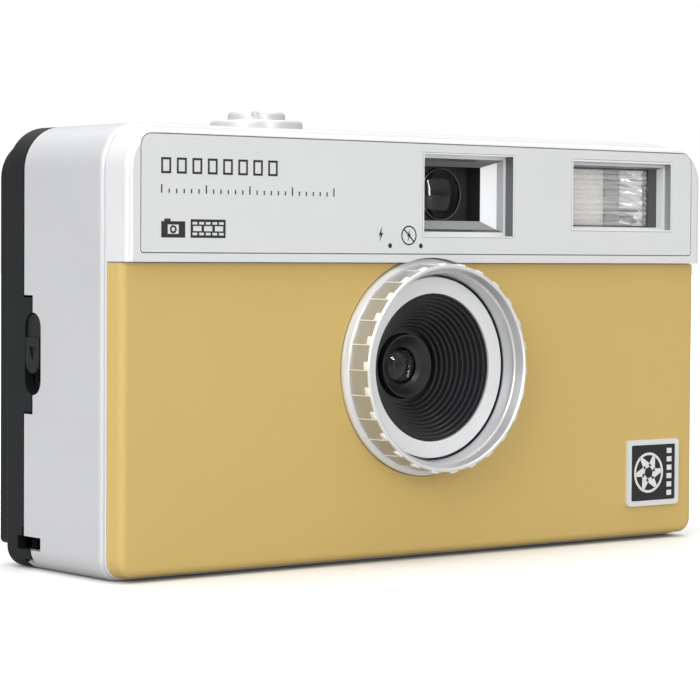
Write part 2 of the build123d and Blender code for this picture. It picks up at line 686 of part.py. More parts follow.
def back_plate():
    plate = tablet((-54.2, 50.6), (3.0, 60.4), 5.6, (DOOR_BACK + 0.45, BACK_PLATE_BACK), 0.8)
    plate = fillet(along(plate, Axis.Y, False), 0.4)
    plate += tablet((-53.2, 49.6), (4.0, 59.4), 4.8, (DOOR_BACK, DOOR_BACK + 0.6), 0.6)
    plate -= wheel_slot((20, 33)) & block((SPOOL[0] - 11.6, SPOOL[0] + 11.6), (20, 33), (50, 58))
    plate -= block((0.4, 11.2), (20, 33), (49.0, 57.8))
    plate -= rod(16.6, 53.4, 1.5, (20, 33))
    rest = tablet((-51.0, -42.0), (14.0, 44.0), 2.5, (BACK_PLATE_BACK, THUMB_REST_BACK))
    rest = chamfer(along(rest, Axis.Y, False), 1.6)
    for i in range(3):
        x = -48.6 + 1.9 * i
        rest -= block((x, x + 0.7), (THUMB_REST_BACK - 0.6, 40), (16.5, 41.5))
    return plate + rest


def eyepiece_frame():
    frame = tablet((-1.6, 13.2), (47.9, 58.9), 1.6, (BACK_PLATE_BACK, BACK_PLATE_BACK + 1.4))
    frame = fillet(along(frame, Axis.Y, False), 0.5)
    frame += block((0.5, 11.1), (29.6, BACK_PLATE_BACK), (49.1, 57.7))
    frame -= block((1.6, 10.0), (29, 40), (50.2, 56.6))
    return frame - block((1.2, 10.4), (29, 30.6), (49.8, 57.0))


def eyepiece_window():
    return block((1.3, 10.3), (29.7, 30.5), (49.9, 56.9))


def latch_housing():
    plate = block((-53.3, -52.4), (19.4, 27.9), (20.6, 39.2))
    plate += block((-53.5, -53.3), (24.9, 27.9), (20.6, 39.2))
    return plate - block((-54, -52), (21.0, 23.3), (26.4, 34.9))


def latch_slider():
    d, z = LATCH
    outer = latch_slot((-55.1, -53.6)) & block((-56, -53), (d - 1.75, d + 1.75), (29.3, z + 5.5))
    outer += Pos(-54.35, FACE_Y + d, 29.3) * Rot(0, 90, 0) * Cylinder(1.75, 1.5)
    outer -= block((-56, -54.7), (20, 25), (32.5, 40))
    arrow = make_face(Polyline((-0.8, 1.0), (0.8, 1.0), (0, -0.9), close=True))
    outer -= extrude(Plane(origin=(-55.1, FACE_Y + d, 30.2), x_dir=(0, 1, 0), z_dir=(1, 0, 0)) * arrow, 0.3)
    stem = block((-53.6, -52.1), (21.4, 22.9), (29.6, 34.4))
    return outer + stem + block((-52.1, -51.4), (20.6, 23.7), (29.2, 34.8))


def pressure_plate():
    plate = tablet((-12.4, 24.4), (11.0, 45.0), 1.0, (25.8, 26.7))
    return plate


def pressure_spring():
    leaf = block((-6, 18), (26.9, 27.15), (26.0, 30.0))
    for x in (-6, 17):
        leaf += block((x, x + 1), (27.15, DOOR_INNER), (26.0, 30.0))
    return leaf


PIECES = {
    "body_shell": body_shell, "front_cover": front_cover, "face_plate": face_plate, "front_panel": front_panel,
    "badge_frame": badge_frame, "badge_field": badge_field, "shutter_collar": shutter_collar,
    "strap_bar": strap_bar, "counter_window": counter_window, "flash_ring": flash_ring, "lens_bezel": lens_bezel,
    "lens_cone": lens_cone, "lens_nose": lens_nose, "front_lens": front_lens, "aperture_plate": aperture_plate,
    "shutter_blade": shutter_blade, "shutter_base": shutter_base, "blade_spring": blade_spring,
    "rear_lens": rear_lens, "contact_springs": contact_springs, "finder_bezel": finder_bezel,
    "finder_tube": finder_tube, "finder_front_lens": finder_front_lens, "finder_rear_lens": finder_rear_lens,
    "flash_bezel": flash_bezel, "flash_housing": flash_housing, "flash_window": flash_window,
    "flash_reflector": flash_reflector, "flash_tube": flash_tube, "flash_board": flash_board,
    "flash_capacitor": flash_capacitor, "ready_lamp": ready_lamp, "chassis": chassis,
    "chassis_screws": chassis_screws, "light_seals": light_seals, "takeup_spool": takeup_spool,
    "advance_wheel": advance_wheel, "film_sprocket": film_sprocket, "counter_dial": counter_dial,
    "shutter_button": shutter_button, "release_slider": release_slider, "release_spring": release_spring,
    "rewind_knob": rewind_knob, "crank_arm": crank_arm, "crank_grip": crank_grip, "rewind_shaft": rewind_shaft,
    "retaining_clip": retaining_clip, "rewind_button": rewind_button, "battery": battery,
    "battery_door": battery_door, "door_contact": door_contact, "back_door": back_door, "hinge_pin": hinge_pin,
    "back_plate": back_plate, "eyepiece_frame": eyepiece_frame, "eyepiece_window": eyepiece_window,
    "latch_housing": latch_housing, "latch_slider": latch_slider, "pressure_plate": pressure_plate,
    "pressure_spring": pressure_spring,
}


def main():
    os.makedirs("parts", exist_ok=True)
    for name, make in PIECES.items():
        export_step(make(), f"parts/{name}.step")


main()
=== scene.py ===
"""Half frame camera: finishes, fine pieces, studio and viewpoint."""

from math import cos, pi, radians, sin

import bmesh
import bpy
from mathutils import Matrix, Vector


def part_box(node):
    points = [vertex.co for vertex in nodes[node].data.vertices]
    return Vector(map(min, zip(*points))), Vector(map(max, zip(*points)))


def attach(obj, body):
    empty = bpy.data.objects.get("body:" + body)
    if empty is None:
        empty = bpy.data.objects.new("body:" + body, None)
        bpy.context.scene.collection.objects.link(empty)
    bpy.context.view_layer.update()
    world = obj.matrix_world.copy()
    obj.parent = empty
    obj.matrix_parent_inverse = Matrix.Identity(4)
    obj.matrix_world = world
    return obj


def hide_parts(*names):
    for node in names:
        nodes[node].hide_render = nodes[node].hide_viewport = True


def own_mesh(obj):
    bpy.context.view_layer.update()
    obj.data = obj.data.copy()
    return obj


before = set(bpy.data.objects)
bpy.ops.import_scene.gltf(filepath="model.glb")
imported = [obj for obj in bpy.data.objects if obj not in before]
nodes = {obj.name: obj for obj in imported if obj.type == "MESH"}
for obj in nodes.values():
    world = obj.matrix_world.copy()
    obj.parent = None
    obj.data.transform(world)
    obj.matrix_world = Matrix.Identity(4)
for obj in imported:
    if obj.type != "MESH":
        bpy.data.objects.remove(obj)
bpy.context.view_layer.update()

MM = 0.001
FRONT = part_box("face_plate")[0][1]
RING_LOW, RING_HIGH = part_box("flash_ring")
LENS = Vector(((RING_LOW[0] + RING_HIGH[0]) / 2, 0.0, (RING_LOW[2] + RING_HIGH[2]) / 2))


def at(x, depth, z):
    """A point from x, depth behind the face plate and height, all in mm."""
    return Vector((x * MM, FRONT + depth * MM, z * MM))


# ---- shader groups ----
def add_node(tree, kind, **settings):
    node = tree.nodes.new(kind)
    for key, value in settings.items():
        if hasattr(node, key):
            setattr(node, key, value)
        else:
            node.inputs[key.replace("_", " ")].default_value = value
    return node


def open_group(name, inputs, outputs):
    """A node group with float or vector inputs and float outputs."""
    group = bpy.data.node_groups.new(name, "ShaderNodeTree")
    for label, value in inputs.items():
        kind = "NodeSocketVector" if value is None else "NodeSocketFloat"
        socket = group.interface.new_socket(label, in_out="INPUT", socket_type=kind)
        if value is not None:
            socket.default_value = value
    for label in outputs:
        group.interface.new_socket(label, in_out="OUTPUT", socket_type="NodeSocketFloat")
    return group, group.nodes.new("NodeGroupInput"), group.nodes.new("NodeGroupOutput")


def build_moulded_grain():
    """Fine grain height and broad patches of a moulded or sprayed surface."""
    group, given, out = open_group(
        "moulded_grain", {"Vector": None, "Grain Scale": 4000.0, "Patch Scale": 60.0}, ("Height", "Patches"))
    fine = add_node(group, "ShaderNodeTexNoise", Detail=3.0, Roughness=0.6)
    broad = add_node(group, "ShaderNodeTexNoise", Detail=4.0, Roughness=0.55)
    link = group.links.new
    for texture in (fine, broad):
        link(given.outputs["Vector"], texture.inputs["Vector"])
    link(given.outputs["Grain Scale"], fine.inputs["Scale"])
    link(given.outputs["Patch Scale"], broad.inputs["Scale"])
    link(fine.outputs["Fac"], out.inputs["Height"])
    link(broad.outputs["Fac"], out.inputs["Patches"])
    return group


def build_brushed_lines():
    """Long fine scratches along one axis, for drawn, turned or brushed metal."""
    group, given, out = open_group("brushed_lines", {"Vector": None, "Line Scale": 900.0}, ("Height", "Streaks"))
    squeezed = add_node(group, "ShaderNodeVectorMath", operation="MULTIPLY")
    squeezed.inputs[1].default_value = (0.04, 1.0, 1.0)
    lines = add_node(group, "ShaderNodeTexNoise", Detail=6.0, Roughness=0.7)
    streaks = add_node(group, "ShaderNodeMapRange", From_Min=0.35, From_Max=0.65)
    link = group.links.new
    link(given.outputs["Vector"], squeezed.inputs[0])
    link(squeezed.outputs[0], lines.inputs["Vector"])
    link(given.outputs["Line Scale"], lines.inputs["Scale"])
    link(lines.outputs["Fac"], streaks.inputs["Value"])
    link(lines.outputs["Fac"], out.inputs["Height"])
    link(streaks.outputs["Result"], out.inputs["Streaks"])
    return group


def build_settled_dust():
    """A thin uneven film on faces that look up."""
    group, given, out = open_group("settled_dust", {"Vector": None, "Amount": 0.5}, ("Mask",))
    facing = add_node(group, "ShaderNodeNewGeometry")
    apart = add_node(group, "ShaderNodeSeparateXYZ")
    upward = add_node(group, "ShaderNodeMapRange", From_Min=0.55, From_Max=1.0)
    clumps = add_node(group, "ShaderNodeTexNoise", Scale=900.0, Detail=5.0, Roughness=0.75)
    grains = add_node(group, "ShaderNodeMapRange", From_Min=0.5, From_Max=0.78)
    lying = add_node(group, "ShaderNodeMath", operation="MULTIPLY")
    thinned = add_node(group, "ShaderNodeMath", operation="MULTIPLY")
    link = group.links.new
    link(facing.outputs["Normal"], apart.inputs[0])
    link(apart.outputs["Z"], upward.inputs["Value"])
    link(given.outputs["Vector"], clumps.inputs["Vector"])
    link(clumps.outputs["Fac"], grains.inputs["Value"])
    link(upward.outputs["Result"], lying.inputs[0])
    link(grains.outputs["Result"], lying.inputs[1])
    link(lying.outputs[0], thinned.inputs[0])
    link(given.outputs["Amount"], thinned.inputs[1])
    link(thinned.outputs[0], out.inputs["Mask"])
    return group


moulded_grain = build_moulded_grain()
brushed_lines = build_brushed_lines()
settled_dust = build_settled_dust()


# ---- finishes ----
def start_finish(name, **shader_values):
    """A material with its Principled shader, its tree and the object's own coordinates."""
    finish = bpy.data.materials.new(name)
    finish.use_nodes = True
    tree = finish.node_tree
    shader = tree.nodes["Principled BSDF"]
    for key, value in shader_values.items():
        shader.inputs[key.replace("_", " ")].default_value = value
    place = tree.nodes.new("ShaderNodeTexCoord").outputs["Object"]
    return finish, tree, shader, place


def use_group(tree, group, place, **values):
    node = tree.nodes.new("ShaderNodeGroup")
    node.node_tree = group
    tree.links.new(place, node.inputs["Vector"])
    for key, value in values.items():
        node.inputs[key.replace("_", " ")].default_value = value
    return node


def tint(tree, mask, low, high):
    """Two colours mixed by a mask."""
    mix = tree.nodes.new("ShaderNodeMix")
    mix.data_type = "RGBA"
    mix.inputs["A"].default_value = (*low, 1.0)
    mix.inputs["B"].default_value = (*high, 1.0)
    tree.links.new(mask, mix.inputs["Factor"])
    return mix.outputs["Result"]


def lay_over(tree, below, mask, colour):
    """A colour laid over another where the mask is."""
    mix = tree.nodes.new("ShaderNodeMix")
    mix.data_type = "RGBA"
    mix.inputs["B"].default_value = (*colour, 1.0)
    tree.links.new(below, mix.inputs["A"])
    tree.links.new(mask, mix.inputs["Factor"])
    return mix.outputs["Result"]


def spread(tree, mask, low, high):
    """A 0 to 1 mask stretched between two values."""
    node = add_node(tree, "ShaderNodeMapRange", To_Min=low, To_Max=high)
    tree.links.new(mask, node.inputs["Value"])
    return node.outputs["Result"]


def raise_bump(tree, shader, height, strength, distance):
    bump = add_node(tree, "ShaderNodeBump", Strength=strength, Distance=distance)
    tree.links.new(height, bump.inputs["Height"])
    tree.links.new(bump.outputs["Normal"], shader.inputs["Normal"])
    return bump


def moulded(name, low, high, rough, grain=3500.0, patch=70.0, bump=0.08, dust=0.25, **values):
    """Moulded or sprayed plastic: patchy tone and sheen, fine grain and a little dust."""
    finish, tree, shader, place = start_finish(name, **values)
    skin = use_group(tree, moulded_grain, place, Grain_Scale=grain, Patch_Scale=patch)
    film = use_group(tree, settled_dust, place, Amount=dust)
    colour = tint(tree, skin.outputs["Patches"], low, high)
    lightened = tuple(min(1.0, c * 0.8 + 0.16) for c in high)
    colour = lay_over(tree, colour, film.outputs["Mask"], lightened)
    tree.links.new(colour, shader.inputs["Base Color"])
    tree.links.new(spread(tree, skin.outputs["Patches"], *rough), shader.inputs["Roughness"])
    raise_bump(tree, shader, skin.outputs["Height"], bump, 0.00004)
    return finish


def metal(name, low, high, rough, lines=900.0, bump=0.05, **values):
    """Bare or plated metal with fine drawn lines."""
    finish, tree, shader, place = start_finish(name, Metallic=1.0, **values)
    drawn = use_group(tree, brushed_lines, place, Line_Scale=lines)
    tree.links.new(tint(tree, drawn.outputs["Streaks"], low, high), shader.inputs["Base Color"])
    tree.links.new(spread(tree, drawn.outputs["Streaks"], *rough), shader.inputs["Roughness"])
    raise_bump(tree, shader, drawn.outputs["Height"], bump, 0.00002)
    return finish


def clear(name, colour, rough, ior=1.49, patch=120.0):
    """Clear glass or acrylic with faint smears."""
    finish, tree, shader, place = start_finish(name, Transmission_Weight=1.0, IOR=ior, Base_Color=(*colour, 1.0))
    skin = use_group(tree, moulded_grain, place, Patch_Scale=patch)
    tree.links.new(spread(tree, skin.outputs["Patches"], *rough), shader.inputs["Roughness"])
    raise_bump(tree, shader, skin.outputs["Patches"], 0.02, 0.00003)
    return finish


def thin_clear(name, low, high, alpha, rough):
    """Thin clear plastic that lets the light through to what lies behind it."""
    finish, tree, shader, place = start_finish(name, Alpha=alpha, IOR=1.49, Coat_Weight=0.5)
    skin = use_group(tree, moulded_grain, place, Patch_Scale=200.0)
    tree.links.new(tint(tree, skin.outputs["Patches"], low, high), shader.inputs["Base Color"])
    tree.links.new(spread(tree, skin.outputs["Patches"], *rough), shader.inputs["Roughness"])
    raise_bump(tree, shader, skin.outputs["Patches"], 0.02, 0.00003)
    return finish


def gate(tree, value, off, on):
    """Mask that is 0 at one value and 1 at the other."""
    node = add_node(tree, "ShaderNodeMapRange", From_Min=off, From_Max=on)
    tree.links.new(value, node.inputs["Value"])
    return node.outputs["Result"]


def both(tree, first, second):
    """Where two masks meet."""
    node = add_node(tree, "ShaderNodeMath", operation="MULTIPLY")
    tree.links.new(first, node.inputs[0])
    tree.links.new(second, node.inputs[1])
    return node.outputs[0]


def recess_finish():
    """Silver window reveal with painted shade: darker tones on its roof, sill, steps and outermost walls."""
    finish, tree, shader, place = start_finish("recess_silver_painted_shade", Metallic=0.15)
    skin = use_group(tree, moulded_grain, place, Grain_Scale=6000.0, Patch_Scale=90.0)
    facing = add_node(tree, "ShaderNodeNewGeometry")
    turned = add_node(tree, "ShaderNodeSeparateXYZ")
    spot = add_node(tree, "ShaderNodeSeparateXYZ")
    tree.links.new(facing.outputs["Normal"], turned.inputs[0])
    tree.links.new(place, spot.inputs[0])
    lean_x, lean_z, across = turned.outputs["X"], turned.outputs["Z"], spot.outputs["X"]
    by_finder, by_flash = gate(tree, across, 0.021, 0.020), gate(tree, across, 0.020, 0.021)
    behind_wall = gate(tree, spot.outputs["Y"], FRONT + 0.00166, FRONT + 0.00172)
    outer_wall = gate(tree, lean_x, -0.93, -0.98)
    step_wall = both(tree, gate(tree, lean_x, -0.55, -0.65), gate(tree, lean_x, -0.95, -0.90))
    roof = both(tree, gate(tree, lean_z, -0.5, -0.6), behind_wall)
    sill = both(tree, gate(tree, lean_z, 0.40, 0.50), behind_wall)
    sill_step = both(tree, gate(tree, lean_z, 0.70, 0.80), behind_wall)
    colour = tint(tree, skin.outputs["Patches"], (0.80, 0.81, 0.82), (0.86, 0.87, 0.88))
    # Painted shade: these darker tones stand in for the shading on the roof, sill, steps and outer walls of the finder
    # and flash reveals.
    for mask, tone in (
        (both(tree, step_wall, by_finder), (0.33, 0.335, 0.34)),
        (both(tree, outer_wall, by_finder), (0.13, 0.135, 0.14)),
        (both(tree, roof, by_finder), (0.15, 0.15, 0.155)),
        (both(tree, sill, by_finder), (0.36, 0.365, 0.37)),
        (both(tree, sill_step, by_finder), (0.10, 0.10, 0.105)),
        (both(tree, outer_wall, by_flash), (0.30, 0.305, 0.31)),
        (both(tree, step_wall, by_flash), (0.50, 0.505, 0.51)),
        (both(tree, gate(tree, lean_z, -0.5, -0.8), by_flash), (0.22, 0.225, 0.23)),
    ):
        colour = lay_over(tree, colour, mask, tone)
    tree.links.new(colour, shader.inputs["Base Color"])
    tree.links.new(spread(tree, skin.outputs["Patches"], 0.30, 0.38), shader.inputs["Roughness"])
    raise_bump(tree, shader, skin.outputs["Height"], 0.04, 0.00004)
    return finish


def ring_finish():
    """Plating, brightest on the front rim, with painted shade that makes the grip, slope and bore greyer and a painted
    shadow near black down in the groove.
    """
    finish, tree, shader, place = start_finish("bright_ring_painted_shade", Metallic=0.5)
    skin = use_group(tree, moulded_grain, place, Grain_Scale=4000.0, Patch_Scale=70.0)
    film = use_group(tree, settled_dust, place, Amount=0.1)
    away = add_node(tree, "ShaderNodeVectorMath", operation="SUBTRACT")
    away.inputs[1].default_value = (LENS.x, 0.0, LENS.z)
    level = add_node(tree, "ShaderNodeVectorMath", operation="MULTIPLY")
    level.inputs[1].default_value = (1.0, 0.0, 1.0)
    reach = add_node(tree, "ShaderNodeVectorMath", operation="LENGTH")
    spot = add_node(tree, "ShaderNodeSeparateXYZ")
    tree.links.new(place, away.inputs[0])
    tree.links.new(away.outputs[0], level.inputs[0])
    tree.links.new(level.outputs[0], reach.inputs[0])
    tree.links.new(place, spot.inputs[0])
    radius, depth = reach.outputs["Value"], spot.outputs["Y"]
    bore = gate(tree, radius, 0.01376, 0.01372)
    slope = both(tree, gate(tree, radius, 0.01445, 0.01435), gate(tree, radius, 0.01380, 0.01385))
    grip = both(tree, gate(tree, radius, 0.01480, 0.01488), gate(tree, depth, FRONT - 0.0037, FRONT - 0.0036))
    rim = gate(tree, depth, FRONT + 0.00034, FRONT + 0.00038)
    groove = both(tree, bore, gate(tree, depth, FRONT - 0.0006, FRONT - 0.0002))
    colour = tint(tree, skin.outputs["Patches"], (0.80, 0.80, 0.79), (0.86, 0.86, 0.85))
    # Painted shade on the bore, slope and grip, and a painted shadow in the groove.
    for mask, tone in ((bore, (0.58, 0.585, 0.595)), (slope, (0.60, 0.605, 0.61)), (grip, (0.48, 0.49, 0.48)),
                       (rim, (0.84, 0.84, 0.83)), (groove, (0.02, 0.02, 0.022))):
        colour = lay_over(tree, colour, mask, tone)
    colour = lay_over(tree, colour, film.outputs["Mask"], (0.80, 0.80, 0.80))
    tree.links.new(colour, shader.inputs["Base Color"])
    tree.links.new(spread(tree, skin.outputs["Patches"], 0.22, 0.30), shader.inputs["Roughness"])
    raise_bump(tree, shader, skin.outputs["Height"], 0.02, 0.00004)
    return finish


def ribbed_clear():
    """Frosted clear plastic with level streaks."""
    finish, tree, shader, place = start_finish("rib_clear", IOR=1.49, Coat_Weight=0.6)
    lines = use_group(tree, brushed_lines, place, Line_Scale=1900.0)
    tone = tint(tree, lines.outputs["Streaks"], (0.74, 0.74, 0.73), (0.98, 0.98, 0.97))
    tree.links.new(tone, shader.inputs["Base Color"])
    tree.links.new(spread(tree, lines.outputs["Streaks"], 0.10, 0.40), shader.inputs["Alpha"])
    tree.links.new(spread(tree, lines.outputs["Streaks"], 0.04, 0.12), shader.inputs["Roughness"])
    raise_bump(tree, shader, lines.outputs["Height"], 0.3, 0.0001)
    return finish


pearl_silver = moulded("pearl_silver", (0.62, 0.625, 0.64), (0.66, 0.665, 0.675), (0.34, 0.42), grain=6000.0,
                       bump=0.05, Metallic=0.25, Coat_Weight=0.12)
plate_silver = moulded("plate_silver", (0.71, 0.725, 0.72), (0.74, 0.755, 0.75), (0.38, 0.46), grain=6500.0, bump=0.05,
                       Metallic=0.12)
sand_yellow = moulded("sand_yellow", (0.59, 0.415, 0.130), (0.62, 0.440, 0.142), (0.42, 0.52), grain=5000.0, patch=40.0,
                      bump=0.10)
# Painted light: a lighter, less metallic copy of the body's pearl silver for the front cover, standing in for the
# brighter light on its front.
cover_silver_painted_light = moulded("cover_silver_painted_light", (0.74, 0.745, 0.755), (0.78, 0.785, 0.79), (0.32, 0.40), grain=6000.0,
                       bump=0.05, Metallic=0.15, Coat_Weight=0.12)
bright_ring_painted_shade = ring_finish()
ridge_silver = moulded("ridge_silver", (0.84, 0.84, 0.83), (0.90, 0.90, 0.89), (0.25, 0.32), bump=0.02, dust=0.1,
                       Metallic=0.1)
bezel_silver = moulded("bezel_silver", (0.78, 0.79, 0.80), (0.82, 0.83, 0.84), (0.34, 0.42), bump=0.04, dust=0.1,
                       Metallic=0.15)
soft_black = moulded("soft_black", (0.008, 0.009, 0.010), (0.014, 0.015, 0.016), (0.42, 0.55), grain=2600.0, bump=0.16,
                     Specular_IOR_Level=0.3)
door_black = moulded("door_black", (0.008, 0.010, 0.011), (0.013, 0.015, 0.016), (0.48, 0.60), grain=2600.0, bump=0.2,
                     Specular_IOR_Level=0.22)
cone_black = moulded("cone_black", (0.014, 0.014, 0.016), (0.020, 0.020, 0.023), (0.26, 0.34), grain=5000.0, bump=0.05,
                     dust=0.0)
pit_black = moulded("pit_black", (0.004, 0.004, 0.005), (0.007, 0.007, 0.008), (0.8, 0.9), dust=0.0,
                    Specular_IOR_Level=0.05)
tunnel_grey = moulded("tunnel_grey", (0.020, 0.021, 0.023), (0.030, 0.031, 0.034), (0.45, 0.55), dust=0.0)
rim_grey = moulded("rim_grey", (0.20, 0.20, 0.21), (0.30, 0.30, 0.31), (0.2, 0.3), dust=0.0)
housing_grey = moulded("housing_grey", (0.062, 0.066, 0.070), (0.078, 0.082, 0.086), (0.4, 0.5), dust=0.0)
gloss_black = moulded("gloss_black", (0.006, 0.006, 0.007), (0.010, 0.010, 0.011), (0.10, 0.18), bump=0.02)
knob_grey = moulded("knob_grey", (0.50, 0.505, 0.52), (0.55, 0.555, 0.565), (0.32, 0.40), bump=0.06, Metallic=0.3)
dial_white = moulded("dial_white", (0.70, 0.70, 0.68), (0.76, 0.76, 0.74), (0.45, 0.55), bump=0.05)
board_green = moulded("board_green", (0.012, 0.10, 0.045), (0.02, 0.15, 0.07), (0.25, 0.35), grain=1500.0, bump=0.1)
sleeve_blue = moulded("sleeve_blue", (0.012, 0.02, 0.06), (0.02, 0.03, 0.09), (0.2, 0.3))
cell_jacket = moulded("cell_jacket", (0.10, 0.11, 0.13), (0.14, 0.15, 0.17), (0.25, 0.33), bump=0.03, Metallic=0.4)
lamp_amber = moulded("lamp_amber", (0.55, 0.07, 0.02), (0.7, 0.12, 0.03), (0.12, 0.2), bump=0.02)
seal_foam = moulded("seal_foam", (0.010, 0.010, 0.010), (0.02, 0.02, 0.02), (0.85, 0.95), grain=1800.0, bump=0.8,
                    dust=0.5)
plain_steel = metal("plain_steel", (0.48, 0.48, 0.49), (0.62, 0.62, 0.62), (0.24, 0.38))
contact_brass = metal("contact_brass", (0.62, 0.44, 0.18), (0.78, 0.60, 0.30), (0.2, 0.34))
reflector_bright = metal("reflector_bright", (0.86, 0.86, 0.86), (0.93, 0.93, 0.93), (0.08, 0.16), lines=600.0)
lens_glass = clear("lens_glass", (0.90, 0.90, 0.96), (0.0, 0.02), ior=1.6)
smoked_glass = clear("smoked_glass", (0.46, 0.465, 0.50), (0.0, 0.02), ior=1.5)
window_clear = thin_clear("window_clear", (0.80, 0.82, 0.83), (0.86, 0.88, 0.88), 0.16, (0.02, 0.06))
recess_silver_painted_shade = recess_finish()

FINISHES = {
    "body_shell": pearl_silver, "front_cover": cover_silver_painted_light, "face_plate": plate_silver, "front_panel": sand_yellow,
    "badge_frame": plate_silver, "badge_field": gloss_black, "shutter_collar": pearl_silver, "strap_bar": pit_black,
    "counter_window": window_clear, "flash_ring": bright_ring_painted_shade, "lens_bezel": bezel_silver, "lens_cone": cone_black,
    "lens_nose": cone_black, "front_lens": smoked_glass, "aperture_plate": soft_black, "shutter_blade": cone_black,
    "shutter_base": soft_black, "blade_spring": plain_steel, "rear_lens": lens_glass, "contact_springs": contact_brass,
    "finder_bezel": recess_silver_painted_shade, "finder_tube": tunnel_grey, "finder_front_lens": smoked_glass,
    "finder_rear_lens": lens_glass, "flash_bezel": recess_silver_painted_shade, "flash_housing": housing_grey,
    "flash_window": window_clear, "flash_reflector": reflector_bright, "flash_tube": window_clear,
    "flash_board": board_green, "flash_capacitor": sleeve_blue, "ready_lamp": lamp_amber, "chassis": soft_black,
    "chassis_screws": plain_steel, "light_seals": seal_foam, "takeup_spool": soft_black, "advance_wheel": soft_black,
    "film_sprocket": soft_black, "counter_dial": dial_white, "shutter_button": pearl_silver,
    "release_slider": soft_black, "release_spring": plain_steel, "rewind_knob": knob_grey, "crank_arm": pearl_silver,
    "crank_grip": pearl_silver, "rewind_shaft": soft_black, "retaining_clip": plain_steel, "rewind_button": soft_black,
    "battery": cell_jacket, "battery_door": pearl_silver, "door_contact": contact_brass, "back_door": door_black,
    "hinge_pin": plain_steel, "back_plate": door_black, "eyepiece_frame": soft_black, "eyepiece_window": window_clear,
    "latch_housing": soft_black, "latch_slider": soft_black, "pressure_plate": gloss_black,
    "pressure_spring": plain_steel,
}


def dress_frame():
    for name, finish in FINISHES.items():
        mesh = nodes[name].data
        mesh.materials.clear()
        mesh.materials.append(finish)


dress_frame()


# ---- shape helpers ----
ACROSS, DEEP, UP = Vector((1, 0, 0)), Vector((0, 1, 0)), Vector((0, 0, 1))


def new_piece(name, shape, body, finish, stands_for=(), sharp=35.0):
    """A finished bmesh as a named piece that rides on a body."""
    bmesh.ops.remove_doubles(shape, verts=shape.verts, dist=1e-7)
    bmesh.ops.recalc_face_normals(shape, faces=shape.faces)
    for face in shape.faces:
        face.smooth = True
    for edge in shape.edges:
        edge.smooth = len(edge.link_faces) == 2 and edge.calc_face_angle(0.0) < radians(sharp)
    mesh = bpy.data.meshes.new(name)
    shape.to_mesh(mesh)
    shape.free()
    piece = bpy.data.objects.new(name, mesh)
    bpy.context.scene.collection.objects.link(piece)
    mesh.materials.append(finish)
    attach(piece, body)
    if stands_for:
        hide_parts(*stands_for)
    return piece


def add_block(shape, low, high):
    """Box between two corners."""
    made = bmesh.ops.create_cube(shape, size=1.0)["verts"]
    bmesh.ops.scale(shape, vec=high - low, verts=made)
    bmesh.ops.translate(shape, vec=(low + high) / 2, verts=made)
    return made


def soften_all(shape, width, segments=2):
    bmesh.ops.bevel(shape, geom=shape.edges[:], offset=width * MM, offset_type="OFFSET", segments=segments, profile=0.5,
                    affect="EDGES", material=-1)


def lathe(shape, profile, centre, axis, steps=64, closed=True, angle=2 * pi):
    """Profile of (radius, along) points in mm, spun about an axis through centre."""
    out = UP if axis == ACROSS else ACROSS
    made = [shape.verts.new(centre + out * r * MM + axis * a * MM) for r, a in profile]
    ends = list(zip(made, made[1:] + made[:1])) if closed else list(zip(made, made[1:]))
    joined = [shape.edges.new(pair) for pair in ends]
    bmesh.ops.spin(shape, geom=made + joined, cent=centre, axis=axis, angle=angle, steps=steps,
                   use_merge=angle > 6.28)


def wind(shape, centre, radius, wire, pitch, turns, axis=UP, steps=20):
    """Coil of round wire, closed at both ends."""
    out = ACROSS
    made = bmesh.ops.create_circle(shape, cap_ends=False, segments=8, radius=wire * MM)["verts"]
    if axis == UP:
        bmesh.ops.rotate(shape, cent=(0, 0, 0), matrix=Matrix.Rotation(pi / 2, 3, "X"), verts=made)
    bmesh.ops.translate(shape, vec=centre + out * radius * MM, verts=made)
    loop = list({edge for vert in made for edge in vert.link_edges})
    count = int(steps * turns)
    bmesh.ops.spin(shape, geom=made + loop, cent=centre, axis=axis, angle=2 * pi * turns, steps=count,
                   dvec=axis * pitch * turns / count * MM, use_merge=False)
    bmesh.ops.holes_fill(shape, edges=[edge for edge in shape.edges if edge.is_boundary])


INK = (-0.02, 0.01)


def ink_polygon(shape, points, face_y=None):
    """Flat print on the front, from (x, z) points in mm."""
    base = FRONT if face_y is None else face_y
    made = [shape.verts.new(Vector((x * MM, base + INK[1] * MM, z * MM))) for x, z in points]
    flat = shape.faces.new(made)
    grown = bmesh.ops.extrude_face_region(shape, geom=[flat], use_keep_orig=True)["geom"]
    moved = [part for part in grown if isinstance(part, bmesh.types.BMVert)]
    bmesh.ops.translate(shape, vec=DEEP * (INK[0] - INK[1]) * MM, verts=moved)


def ink_box(shape, x, z, wide, high, face_y=None):
    ink_polygon(shape, [(x, z), (x + wide, z), (x + wide, z + high), (x, z + high)], face_y)


def ink_ring(shape, x, z, outer, inner, face_y=None, steps=40):
    base = FRONT if face_y is None else face_y
    lathe(shape, [(inner, INK[1]), (outer, INK[1]), (outer, INK[0]), (inner, INK[0])],
          Vector((x * MM, base, z * MM)), DEEP, steps)


def ink_dot(shape, x, z, radius, face_y=None):
    base = FRONT if face_y is None else face_y
    lathe(shape, [(0, INK[0]), (radius, INK[0]), (radius, INK[1]), (0, INK[1])], Vector((x * MM, base, z * MM)), DEEP,
          28, closed=False)


# ---- printed marks ----
BOLT = [(0.30, 1.0), (-0.62, -0.18), (-0.08, -0.14), (-0.42, -1.0), (0.62, 0.22), (0.10, 0.20)]


def print_bolt(shape, x, z, size):
    ink_polygon(shape, [(x + size * 0.62 * px, z + size * py) for px, py in BOLT])


